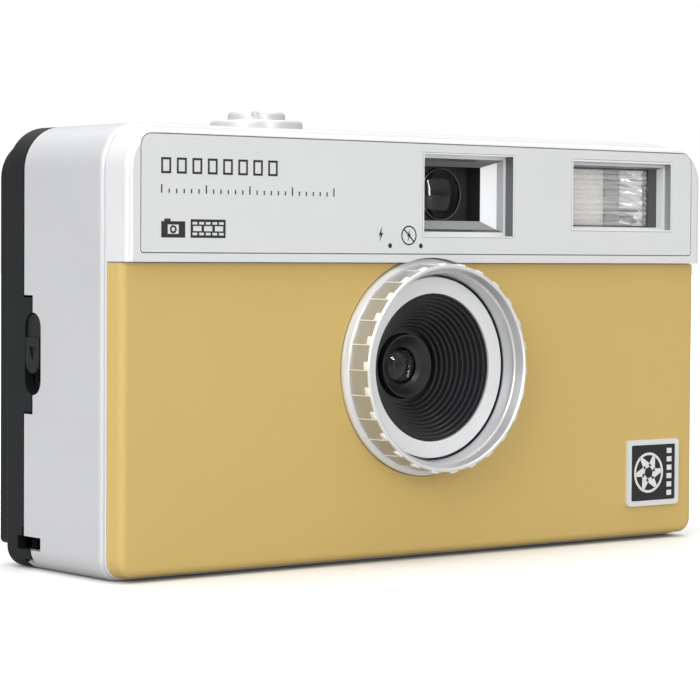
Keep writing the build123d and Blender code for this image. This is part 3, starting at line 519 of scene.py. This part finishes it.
def print_flash_marks():
    """Flash on and flash off, each with its index dot."""
    shape = bmesh.new()
    print_bolt(shape, -10.8, 47.2, 1.08)
    ink_ring(shape, -5.6, 47.1, 1.42, 1.22)
    print_bolt(shape, -5.6, 47.1, 0.92)
    ink_polygon(shape, [(-6.65, 47.95), (-6.5, 48.1), (-4.55, 46.25), (-4.7, 46.1)])
    for x in (-9.1, -3.35):
        ink_dot(shape, x, 45.6, 0.35)
    new_piece("flash_marks", shape, "camera_body", print_black)


def print_frame_strip():
    """Three plain rows: outlined half frames, a fine scale, and a camera beside a strip of film."""
    shape = bmesh.new()
    for i in range(8):
        left = -48.75 + 2.55 * i
        low, wide, high, stroke = 55.05, 1.62, 2.15, 0.3
        ink_box(shape, left, low, wide, stroke)
        ink_box(shape, left, low + high - stroke, wide, stroke)
        ink_box(shape, left, low + stroke, stroke, high - 2 * stroke)
        ink_box(shape, left + wide - stroke, low + stroke, stroke, high - 2 * stroke)
    for i in range(25):
        tall = 1.15 if i % 6 == 0 else 0.6
        ink_box(shape, -48.75 + 1.22 * i, 52.42, 0.2, tall)
    # camera
    ink_box(shape, -48.7, 46.45, 3.9, 0.5)
    ink_box(shape, -48.7, 46.95, 1.05, 1.25)
    ink_box(shape, -45.85, 46.95, 1.05, 1.25)
    ink_box(shape, -48.7, 48.2, 3.9, 0.45)
    ink_box(shape, -48.2, 48.65, 1.0, 0.35)
    ink_ring(shape, -46.75, 47.57, 0.55, 0.28)
    # film
    ink_box(shape, -43.9, 46.45, 5.8, 0.35)
    ink_box(shape, -43.9, 48.6, 5.8, 0.35)
    for i in range(6):
        ink_box(shape, -43.9 + 1.1 * i, 46.8, 0.3, 0.35)
        ink_box(shape, -43.9 + 1.1 * i, 48.25, 0.3, 0.35)
    ink_box(shape, -43.9, 47.15, 5.8, 0.2)
    ink_box(shape, -43.9, 48.05, 5.8, 0.2)
    for i in range(4):
        ink_box(shape, -43.9 + 1.8 * i, 47.35, 0.4, 0.7)
    new_piece("frame_strip", shape, "camera_body", print_black)


def build_badge_emblem():
    """A round iris of six leaves, with a column of film perforations beside it."""
    shape = bmesh.new()
    low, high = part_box("badge_field")
    face_y = low[1]
    middle_x, middle_z = low[0] / MM + 3.75, (low[2] + high[2]) / 2 / MM
    ink_ring(shape, middle_x, middle_z, 3.15, 2.75, face_y)
    for i in range(6):
        turn = pi / 3 * i
        points = [(2.8, 0.0), (2.75, 0.55), (1.0, 0.62), (0.62, -1.02), (0.95, -1.0)]
        placed = [(middle_x + px * cos(turn) - pz * sin(turn), middle_z + px * sin(turn) + pz * cos(turn))
                  for px, pz in points]
        ink_polygon(shape, placed, face_y)
    for i in range(6):
        ink_box(shape, high[0] / MM - 1.75, low[2] / MM + 0.62 + 1.32 * i, 1.05, 0.8, face_y)
    new_piece("badge_emblem", shape, "camera_body", print_white)


DIAL_REACH = 5.2


def number_counter():
    """Frame scale on the counter dial: a tick for each frame and a number every twelve."""
    low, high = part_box("counter_dial")
    centre = Vector(((low[0] + high[0]) / 2, (low[1] + high[1]) / 2, high[2]))
    shape = bmesh.new()
    for i in range(72):
        length = 0.75 if i % 6 == 0 else 0.4
        made = add_block(shape, centre + Vector((DIAL_REACH - length, -0.045, -0.01)) * MM,
                         centre + Vector((DIAL_REACH, 0.045, 0.02)) * MM)
        bmesh.ops.rotate(shape, cent=centre, matrix=Matrix.Rotation(2 * pi * i / 72, 3, "Z"), verts=made)
    new_piece("counter_ticks", shape, "counter", print_black)
    for i in range(6):
        figure = bpy.data.curves.new(f"counter_figure_{12 * i}", "FONT")
        figure.body = str(12 * i)
        figure.size = 1.5 * MM
        figure.extrude = 0.015 * MM
        figure.align_x, figure.align_y = "CENTER", "CENTER"
        written = bpy.data.objects.new(f"counter_figure_{12 * i}", figure)
        mesh = bpy.data.meshes.new_from_object(written)
        bpy.data.objects.remove(written)
        shape = bmesh.new()
        shape.from_mesh(mesh)
        bearing = Matrix.Rotation(-2 * pi * i / 6, 4, "Z")
        turn = Matrix.Translation(centre) @ bearing @ Matrix.Translation((0, 3.6 * MM, 0))
        bmesh.ops.transform(shape, matrix=turn, verts=shape.verts)
        new_piece(f"counter_number_{12 * i}", shape, "counter", print_black)


# ---- flash ring ----
FACETS = 26


def facet_ring():
    """Plated ring with flat facets round its grip."""
    shape = bmesh.new()
    profile = [(13.45, 4.4), (13.45, -0.5), (13.75, -2.5), (13.85, -2.68), (13.98, -2.78), (14.38, -3.8),
               (14.48, -3.95), (14.6, -4.0), (14.75, -4.0), (14.9, -3.92), (14.98, -3.75), (15.02, -3.0),
               (15.06, 0.35), (15.25, 0.42), (15.72, 0.75), (15.8, 1.0), (15.8, 1.6), (14.5, 1.6), (14.5, 3.8),
               (15.3, 3.9), (15.3, 4.4)]
    centre = Vector((LENS.x, FRONT, LENS.z))
    lathe(shape, profile, centre, DEEP, steps=FACETS * 4)
    bmesh.ops.remove_doubles(shape, verts=shape.verts, dist=1e-7)
    for vert in shape.verts:
        reach = vert.co - centre
        depth, radius = reach.y / MM, Vector((reach.x, reach.z)).length / MM
        if -3.2 < depth < 0.38 and radius > 14.95:
            angle = Vector((reach.x, reach.z)).angle_signed(Vector((1, 0))) % (2 * pi / FACETS)
            flat = cos(pi / FACETS) / cos(angle - pi / FACETS)
            vert.co = centre + Vector((reach.x * flat, reach.y, reach.z * flat))
    new_piece("flash_ring_body", shape, "flash_switch", bright_ring_painted_shade, ("flash_ring",), sharp=4.0)
    ridges, nubs = bmesh.new(), bmesh.new()
    for i in range(FACETS):
        turn = Matrix.Rotation(2 * pi * i / FACETS, 3, "Y")
        made = add_block(ridges, centre + Vector((14.9, -3.6, -0.06)) * MM, centre + Vector((15.11, 0.36, 0.06)) * MM)
        bmesh.ops.rotate(ridges, cent=centre, matrix=turn, verts=made)
        made = add_block(nubs, centre + Vector((14.7, -3.8, -1.25)) * MM, centre + Vector((15.16, -2.95, 0.06)) * MM)
        bmesh.ops.rotate(nubs, cent=centre, matrix=turn, verts=made)
    soften_all(nubs, 0.1)
    new_piece("flash_ring_ridges", ridges, "flash_switch", ridge_silver)
    new_piece("flash_ring_nubs", nubs, "flash_switch", ridge_silver)


# ---- flash ----
def rib_flash_window():
    """Clear front with level half-round ribs."""
    low, high = (Vector(corner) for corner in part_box("flash_window"))
    middle, size = (low + high) / 2, high - low
    count = 11
    shape = bmesh.new()
    made = bmesh.ops.create_grid(shape, x_segments=1, y_segments=count * 6, size=0.5)["verts"]
    bmesh.ops.rotate(shape, cent=(0, 0, 0), matrix=Matrix.Rotation(pi / 2, 3, "X"), verts=made)
    bmesh.ops.scale(shape, vec=(size.x, 1.0, size.z), verts=made)
    for vert in made:
        share = (vert.co.z / size.z + 0.5) * count
        vert.co.y = -0.26 * MM * abs(sin(pi * share)) ** 0.7
    bmesh.ops.translate(shape, vec=Vector((middle.x, low.y + 0.2 * MM, middle.z)), verts=made)
    grown = bmesh.ops.extrude_face_region(shape, geom=shape.faces[:], use_keep_orig=True)["geom"]
    back = [part for part in grown if isinstance(part, bmesh.types.BMVert)]
    for vert in back:
        vert.co.y = high.y
    new_piece("flash_window_ribs", shape, "camera_body", rib_clear, ("flash_window",), sharp=50)


def form_reflector():
    """Bright trough with flared ends behind the tube."""
    low, high = (Vector(corner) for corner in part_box("flash_reflector"))
    middle, size = (low + high) / 2, high - low
    shape = bmesh.new()
    made = bmesh.ops.create_grid(shape, x_segments=40, y_segments=28, size=0.5)["verts"]
    bmesh.ops.rotate(shape, cent=(0, 0, 0), matrix=Matrix.Rotation(pi / 2, 3, "X"), verts=made)
    for vert in made:
        side, rise = abs(vert.co.x) * 2, abs(vert.co.z) * 2
        rim = max(side ** 7, rise ** 2)
        vert.co = Vector((middle.x + vert.co.x * size.x * 0.97, high.y - 0.25 * MM - rim * (size.y - 0.35 * MM),
                          middle.z + vert.co.z * size.z * 0.96))
    piece = new_piece("reflector_trough", shape, "camera_body", reflector_bright,
                      ("flash_reflector",), 60)
    wall = piece.modifiers.new("sheet", "SOLIDIFY")
    wall.thickness = 0.15 * MM
    wall.offset = -1.0


def fit_tube_ends():
    low, high = (Vector(corner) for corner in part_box("flash_tube"))
    middle = (low + high) / 2
    shape = bmesh.new()
    for side, edge in ((1, low.x), (-1, high.x)):
        centre = Vector((edge, middle.y, middle.z))
        cap = [(0, 0.05), (0.9, 0.05), (0.95, 0.3), (0.95, 1.1), (0.82, 1.3), (0, 1.3)]
        lathe(shape, [(r, side * a) for r, a in cap], centre, ACROSS, 32, closed=False)
    new_piece("flash_tube_caps", shape, "camera_body", plain_steel)
    shape = bmesh.new()
    window_low, window_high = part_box("flash_window")
    sheet_top = window_high[2] - 0.1 * MM
    band_low = Vector((36.4 * MM, window_high[1] + 0.15 * MM, window_low[2] + 0.1 * MM))
    band_high = Vector((39.4 * MM, band_low.y + 0.35 * MM, sheet_top))
    add_block(shape, band_low, band_high)
    soften_all(shape, 0.08)
    new_piece("diffuser_band", shape, "camera_body", band_grey)
    shape = bmesh.new()
    white_low = Vector((28.3 * MM, band_low.y + 0.45 * MM, band_low.z))
    add_block(shape, white_low, Vector((36.3 * MM, white_low.y + 0.25 * MM, sheet_top)))
    soften_all(shape, 0.08)
    new_piece("diffuser_sheet", shape, "camera_body", diffuser_white)
    shape = bmesh.new()
    made = bmesh.ops.create_grid(shape, x_segments=16, y_segments=60, size=0.5)["verts"]
    bmesh.ops.rotate(shape, cent=(0, 0, 0), matrix=Matrix.Rotation(pi / 2, 3, "X"), verts=made)
    for vert in made:
        wave = sin(31.0 * vert.co.z + 2.2 * sin(4.0 * vert.co.x)) + 0.6 * sin(57.0 * vert.co.z + 3.0 * vert.co.x)
        depth = 0.3 + 0.12 * wave + 1.6 * (0.5 - vert.co.x)
        height = (band_low.z + band_high.z) / 2 + vert.co.z * (band_high.z - band_low.z)
        vert.co = Vector((42.0 * MM + vert.co.x * 4.9 * MM, band_low.y + depth * MM, height))
    foil = new_piece("reflector_foil", shape, "camera_body", foil_bright, sharp=80)
    sheet = foil.modifiers.new("sheet", "SOLIDIFY")
    sheet.thickness = 0.06 * MM


def rim_finder_lens():
    low, high = (Vector(corner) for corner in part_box("finder_front_lens"))
    centre = Vector(((low.x + high.x) / 2, low.y + 1.1 * MM, (low.z + high.z) / 2))
    shape = bmesh.new()
    lathe(shape, [(3.70, 0.0), (3.76, -0.14), (3.84, -0.1), (3.86, 0.15), (3.74, 0.15)], centre, DEEP, 96)
    new_piece("finder_lens_rim", shape, "camera_body", rim_grey)


# ---- springs and small fittings ----
def wind_release_spring():
    low, high = (Vector(corner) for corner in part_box("release_spring"))
    centre = Vector(((low.x + high.x) / 2, (low.y + high.y) / 2, low.z + 0.16 * MM))
    turns = 7.5
    height = (high.z - low.z) / MM - 0.34
    shape = bmesh.new()
    wind(shape, centre, 1.34, 0.16, height / turns, turns)
    coil = new_piece("release_coil", shape, "camera_body", plain_steel, ("release_spring",), 60)
    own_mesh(coil)


def wind_blade_spring():
    low, high = (Vector(corner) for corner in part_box("blade_spring"))
    centre = Vector((high.x - 1.5 * MM, low.y + 0.1 * MM, (low.z + high.z) / 2))
    shape = bmesh.new()
    wind(shape, centre, 1.2, 0.09, 0.19, 2.0, axis=DEEP)
    arm = add_block(shape, centre + Vector((-5.0, 0.0, 1.05)) * MM, centre + Vector((0.1, 0.18, 1.23)) * MM)
    bmesh.ops.rotate(shape, cent=centre, matrix=Matrix.Rotation(radians(-12), 3, "Y"), verts=arm)
    new_piece("blade_coil", shape, "camera_body", plain_steel, ("blade_spring",), 60)


def stud(shape, centre, axis, radius, height):
    """Domed rivet head standing on a face."""
    dome = [(0, 0), (radius, 0), (radius, height * 0.45), (radius * 0.75, height * 0.85), (0, height)]
    lathe(shape, dome, centre, axis, 24, closed=False)


def rivet_pressure_plate():
    low, high = (Vector(corner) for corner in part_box("pressure_plate"))
    shape = bmesh.new()
    for x in (0.2, 0.8):
        for z in (0.12, 0.88):
            place = Vector((low.x + (high.x - low.x) * x, high.y, low.z + (high.z - low.z) * z))
            stud(shape, place, DEEP, 0.9, 0.3)
    new_piece("pressure_plate_rivets", shape, "film_pressure", plain_steel)


def populate_board():
    """Resistors with their leads and solder pads on the flash board's rear face, and a transformer winding."""
    low = Vector(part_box("flash_board")[0])
    face = low.y + 0.8 * MM
    left = low.x
    resistor_rows = (9.0, 11.6, 41.2, 43.6)
    parts = bmesh.new()
    for z in resistor_rows:
        centre = Vector((left + 7.2 * MM, face + 0.75 * MM, z * MM))
        barrel = [(0, -1.7), (0.45, -1.7), (0.62, -1.4), (0.62, -1.0), (0.5, -0.7), (0.5, 0.7), (0.62, 1.0),
                  (0.62, 1.4), (0.45, 1.7), (0, 1.7)]
        lathe(parts, barrel, centre, ACROSS, 16, closed=False)
    new_piece("board_resistors", parts, "camera_body", resistor_tan)
    pads = bmesh.new()
    for row in range(9):
        for column in range(3):
            place = Vector((left + (1.4 + 0.9 * column) * MM, face, (7.5 + 4.2 * row) * MM))
            stud(pads, place, DEEP, 0.32, 0.22)
    new_piece("board_solder", pads, "camera_body", plain_steel)
    wires = bmesh.new()
    for z in resistor_rows:
        for side in (-1, 1):
            start = Vector((left + (7.2 + side * 1.7) * MM, face + 0.75 * MM, z * MM))
            end = Vector((left + (7.2 + side * 2.9) * MM, face + 0.75 * MM, z * MM))
            length = (end.x - start.x) / MM
            lathe(wires, [(0, 0), (0.12, 0), (0.12, length), (0, length)], start, ACROSS, 8, closed=False)
    new_piece("board_leads", wires, "camera_body", plain_steel)
    coil = bmesh.new()
    for i in range(9):
        z = 21.25 + 0.5 * i
        add_block(coil, at(24.65, 4.45, z), at(26.75, 6.35, z + 0.42))
    new_piece("transformer_winding", coil, "camera_body", resistor_tan)


def mark_battery():
    """Steel caps at both ends of the cell."""
    low, high = (Vector(corner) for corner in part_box("battery"))
    centre = Vector(((low.x + high.x) / 2, (low.y + high.y) / 2, 0.0))
    shape = bmesh.new()
    top = high.z / MM
    upper = [(0, top - 1.0), (4.6, top - 1.0), (5.05, top - 1.15), (5.27, top - 1.6), (5.27, top - 0.95),
             (4.9, top - 0.78), (2.3, top - 0.86), (1.92, top - 0.7), (1.92, top - 0.12), (1.7, top + 0.01),
             (0, top + 0.01)]
    lathe(shape, upper, centre, UP, 48, closed=False)
    base = low.z / MM
    lower = [(0, base - 0.01), (4.4, base - 0.01), (5.0, base + 0.12), (5.27, base + 0.4), (5.27, base + 1.1),
             (5.2, base + 1.1), (0, base + 1.1)]
    lathe(shape, lower, centre, UP, 48, closed=False)
    new_piece("cell_caps", shape, "camera_body", plain_steel)
    ring = bmesh.new()
    lathe(ring, [(5.252, 34.0), (5.29, 34.1), (5.29, 40.0), (5.252, 40.1)], centre, UP, 48)
    new_piece("cell_band", ring, "camera_body", contact_brass)


def seat_case_screws():
    """Crossed pan heads sitting in shallow recesses in the base, each with a flat black cross of painted shade standing
    in for a cut slot.
    """
    shape = bmesh.new()
    painted_slot_shade = bmesh.new()
    for x, depth in ((-44.0, 12.0), (44.0, 12.0), (-3.0, 12.0)):
        centre = at(x, depth, 0.14)
        lathe(shape, [(0, 0), (1.35, 0), (1.5, 0.1), (1.5, 0.35), (0, 0.35)], centre, UP, 32, closed=False)
        # Painted shade: each slot is a flat black cross laid on the head, not a cut recess.
        for turn in (0, pi / 2):
            made = add_block(painted_slot_shade, centre + Vector((-0.95, -0.16, -0.02)) * MM,
                             centre + Vector((0.95, 0.16, 0.05)) * MM)
            bmesh.ops.rotate(painted_slot_shade, cent=centre, matrix=Matrix.Rotation(turn + 0.4, 3, "Z"), verts=made)
    new_piece("base_screws", shape, "camera_body", plain_steel)
    new_piece("base_screw_slot_shade", painted_slot_shade, "camera_body", gloss_black)


print_black = moulded("print_black", (0.012, 0.012, 0.013), (0.020, 0.020, 0.022), (0.5, 0.6), bump=0.02, dust=0.0)
print_white = moulded("print_white", (0.70, 0.70, 0.69), (0.78, 0.78, 0.77), (0.4, 0.5), bump=0.02, dust=0.0)
band_grey = moulded("band_grey", (0.13, 0.13, 0.13), (0.24, 0.24, 0.24), (0.3, 0.4), patch=400.0, dust=0.0)
diffuser_white = moulded("diffuser_white", (0.86, 0.82, 0.77), (0.93, 0.91, 0.88), (0.4, 0.5), patch=300.0, dust=0.0)
resistor_tan = moulded("resistor_tan", (0.42, 0.20, 0.08), (0.55, 0.30, 0.13), (0.3, 0.4), patch=500.0, dust=0.0)
rib_clear = ribbed_clear()
foil_bright = moulded("foil_bright", (0.93, 0.93, 0.93), (0.97, 0.97, 0.97), (0.22, 0.30), bump=0.02, dust=0.0,
                      Metallic=0.65)

facet_ring()
rim_finder_lens()
print_flash_marks()
print_frame_strip()
build_badge_emblem()
number_counter()
rib_flash_window()
form_reflector()
fit_tube_ends()
wind_release_spring()
wind_blade_spring()
rivet_pressure_plate()
populate_board()
mark_battery()
seat_case_screws()


# ---- studio ----
def floor_finish():
    """Pale floor that fades to plain white with distance; it gives back less light than it shows."""
    finish, tree, shader, place = start_finish("studio_floor", Roughness=0.5, Emission_Color=(1.0, 1.0, 1.0, 1.0))
    skin = use_group(tree, moulded_grain, place, Grain_Scale=40.0, Patch_Scale=2.0)
    path = tree.nodes.new("ShaderNodeLightPath")
    seen = path.outputs["Is Camera Ray"]
    reach = add_node(tree, "ShaderNodeVectorMath", operation="LENGTH")
    tree.links.new(place, reach.inputs[0])
    pale = tint(tree, skin.outputs["Patches"], (0.46, 0.46, 0.46), (0.48, 0.48, 0.48))
    colour = lay_over(tree, pale, seen, (0.97, 0.97, 0.97))
    tree.links.new(colour, shader.inputs["Base Color"])
    far = gate(tree, reach.outputs["Value"], 0.10, 0.45)
    tree.links.new(both(tree, far, seen), shader.inputs["Emission Strength"])
    return finish


def lay_floor():
    shape = bmesh.new()
    bmesh.ops.create_grid(shape, x_segments=2, y_segments=2, size=4.0)
    mesh = bpy.data.meshes.new("studio_floor")
    shape.to_mesh(mesh)
    shape.free()
    floor = bpy.data.objects.new("studio_floor", mesh)
    floor.data.materials.append(floor_finish())
    bpy.context.scene.collection.objects.link(floor)


def hang_light(name, place, target, size, power, colour=(1.0, 1.0, 1.0)):
    lamp = bpy.data.lights.new(name, "AREA")
    lamp.shape = "RECTANGLE"
    lamp.size, lamp.size_y = size
    lamp.energy = power
    lamp.color = colour
    lit = bpy.data.objects.new(name, lamp)
    lit.location = place
    lit.rotation_euler = (Vector(target) - Vector(place)).to_track_quat("-Z", "Y").to_euler()
    bpy.context.scene.collection.objects.link(lit)


def light_studio():
    """White to the eye, with a dimmer air that is brighter overhead, and three soft boxes."""
    world = bpy.data.worlds.new("studio_air")
    world.use_nodes = True
    tree = world.node_tree
    air = tree.nodes["Background"]
    air.inputs["Strength"].default_value = 1.0
    path = tree.nodes.new("ShaderNodeLightPath")
    facing = tree.nodes.new("ShaderNodeTexCoord")
    apart = tree.nodes.new("ShaderNodeSeparateXYZ")
    rise = add_node(tree, "ShaderNodeMapRange", From_Min=-0.2, From_Max=0.9, To_Min=0.27, To_Max=0.68)
    shown = tree.nodes.new("ShaderNodeMix")
    shown.inputs["B"].default_value = 1.0
    tree.links.new(facing.outputs["Generated"], apart.inputs[0])
    tree.links.new(apart.outputs["Z"], rise.inputs["Value"])
    tree.links.new(path.outputs["Is Camera Ray"], shown.inputs["Factor"])
    tree.links.new(rise.outputs["Result"], shown.inputs["A"])
    tree.links.new(shown.outputs["Result"], air.inputs["Color"])
    bpy.context.scene.world = world
    hang_light("left_softbox", (-1.0, -0.35, 0.55), (0, 0, 0.03), (0.85, 0.9), 8.6)
    hang_light("front_strip", (-0.05, -1.35, 0.42), (0, 0, 0.04), (0.10, 0.9), 5.4)
    hang_light("overhead_softbox", (0.1, 0.15, 1.0), (0, 0, 0), (1.3, 1.1), 9.4)


def aim_camera():
    yaw, pitch, roll = radians(38.535), radians(2.081), radians(0.349)
    level = Vector((sin(yaw), cos(yaw), 0.0))
    side = Vector((cos(yaw), -sin(yaw), 0.0))
    up = Vector((0.0, 0.0, 1.0))
    ahead = level * cos(pitch) - up * sin(pitch)
    over = up * cos(pitch) + level * sin(pitch)
    right = side * cos(roll) + over * sin(roll)
    above = over * cos(roll) - side * sin(roll)
    lens = bpy.data.cameras.new("viewpoint")
    lens.lens = 137.75
    lens.sensor_width = 36.0
    lens.clip_start = 0.01
    eye = bpy.data.objects.new("viewpoint", lens)
    turn = Matrix((right, above, -ahead)).transposed().to_4x4()
    eye.matrix_world = Matrix.Translation((-0.25223, -0.31173, 0.04457)) @ turn
    bpy.context.scene.collection.objects.link(eye)
    bpy.context.scene.camera = eye


lay_floor()
light_studio()
aim_camera()
bpy.context.scene.view_settings.view_transform = "Standard"
